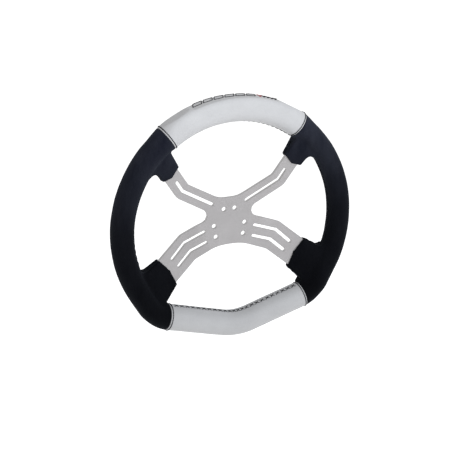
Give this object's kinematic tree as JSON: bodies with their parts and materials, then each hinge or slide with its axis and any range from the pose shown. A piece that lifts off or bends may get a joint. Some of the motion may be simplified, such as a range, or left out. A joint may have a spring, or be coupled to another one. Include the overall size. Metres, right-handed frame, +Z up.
{
  "type": "kart steering wheel",
  "caption": "Flat-bottomed padded steering wheel rim in black suede and silver leather on a dished four-arm aluminium spoke plate with a drilled hub centre.",
  "frame": {"origin": "centre of the hub bolt pattern, on the rear face of the spoke plate", "axes": "+Z up through the top of the rim, +X to the right as the driver sees it, +Y away from the driver along the steering shaft"},
  "size_m": [0.32, 0.037, 0.3088],
  "materials": {
    "satin_aluminium": "satin, fine blasted grain",
    "core_aluminium": "as drawn, dull",
    "rivet_metal": "bright, set cold",
    "moulded_foam": "skinned polyurethane foam",
    "black_suede": "short nap, very matte",
    "silver_leather": "smooth, fine grain, slight metallic sheen",
    "black_thread": "waxed bonded thread"
  },
  "bodies": {
    "root": {"bottom_cover": "silver_leather", "core_tab_lower_left": "core_aluminium", "core_tab_lower_right": "core_aluminium", "core_tab_upper_left": "core_aluminium", "core_tab_upper_right": "core_aluminium", "grip_cover_left": "black_suede", "grip_cover_right": "black_suede", "joint_stitch_lower_left": "black_thread", "joint_stitch_lower_right": "black_thread", "joint_stitch_upper_left": "black_thread", "joint_stitch_upper_right": "black_thread", "lacing_bottom": "black_thread", "lacing_grip_left": "black_thread", "lacing_grip_right": "black_thread", "lacing_top": "black_thread", "rim_core_ring": "core_aluminium", "rim_foam": "moulded_foam", "rivet_lower_left_1": "rivet_metal", "rivet_lower_left_2": "rivet_metal", "rivet_lower_right_1": "rivet_metal", "rivet_lower_right_2": "rivet_metal", "rivet_upper_left_1": "rivet_metal", "rivet_upper_left_2": "rivet_metal", "rivet_upper_right_1": "rivet_metal", "rivet_upper_right_2": "rivet_metal", "spoke_plate": "satin_aluminium", "top_cover": "silver_leather", "top_motif": "black_thread"}
  },
  "joints": []
}
